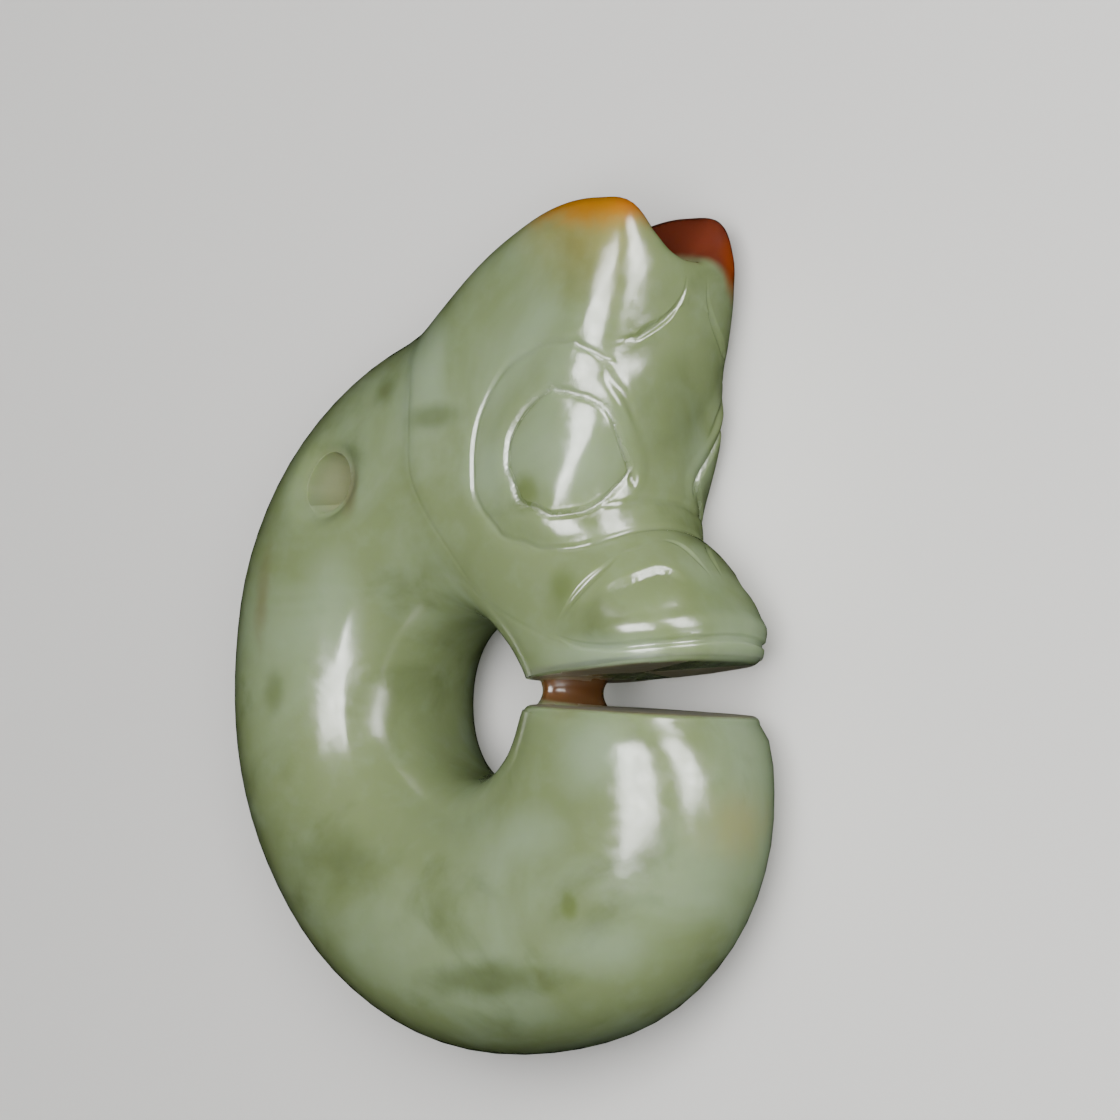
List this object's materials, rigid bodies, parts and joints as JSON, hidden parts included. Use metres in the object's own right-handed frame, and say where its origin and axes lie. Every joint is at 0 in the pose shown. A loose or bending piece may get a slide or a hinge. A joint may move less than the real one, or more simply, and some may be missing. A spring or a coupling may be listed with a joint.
{
  "type": "jade pig dragon carving",
  "caption": "Curled C-shaped pig dragon carved from one stone, with upright ears, ringed eyes, a wrinkled snout, a slit below the jaw and a cord hole at the nape.",
  "frame": {"origin": "centre of the footprint, on the surface that the carving lies on", "axes": "+X towards the snout, +Y towards the ear tips, +Z out of the right flank; the carving lies on its left flank"},
  "size_m": [0.053, 0.0738, 0.0226],
  "materials": {
    "jade": "polished pale green nephrite with darker clouds, russet ear tips and a brown web in the slit"
  },
  "bodies": {
    "root": {"pig_dragon": "jade"}
  },
  "joints": []
}
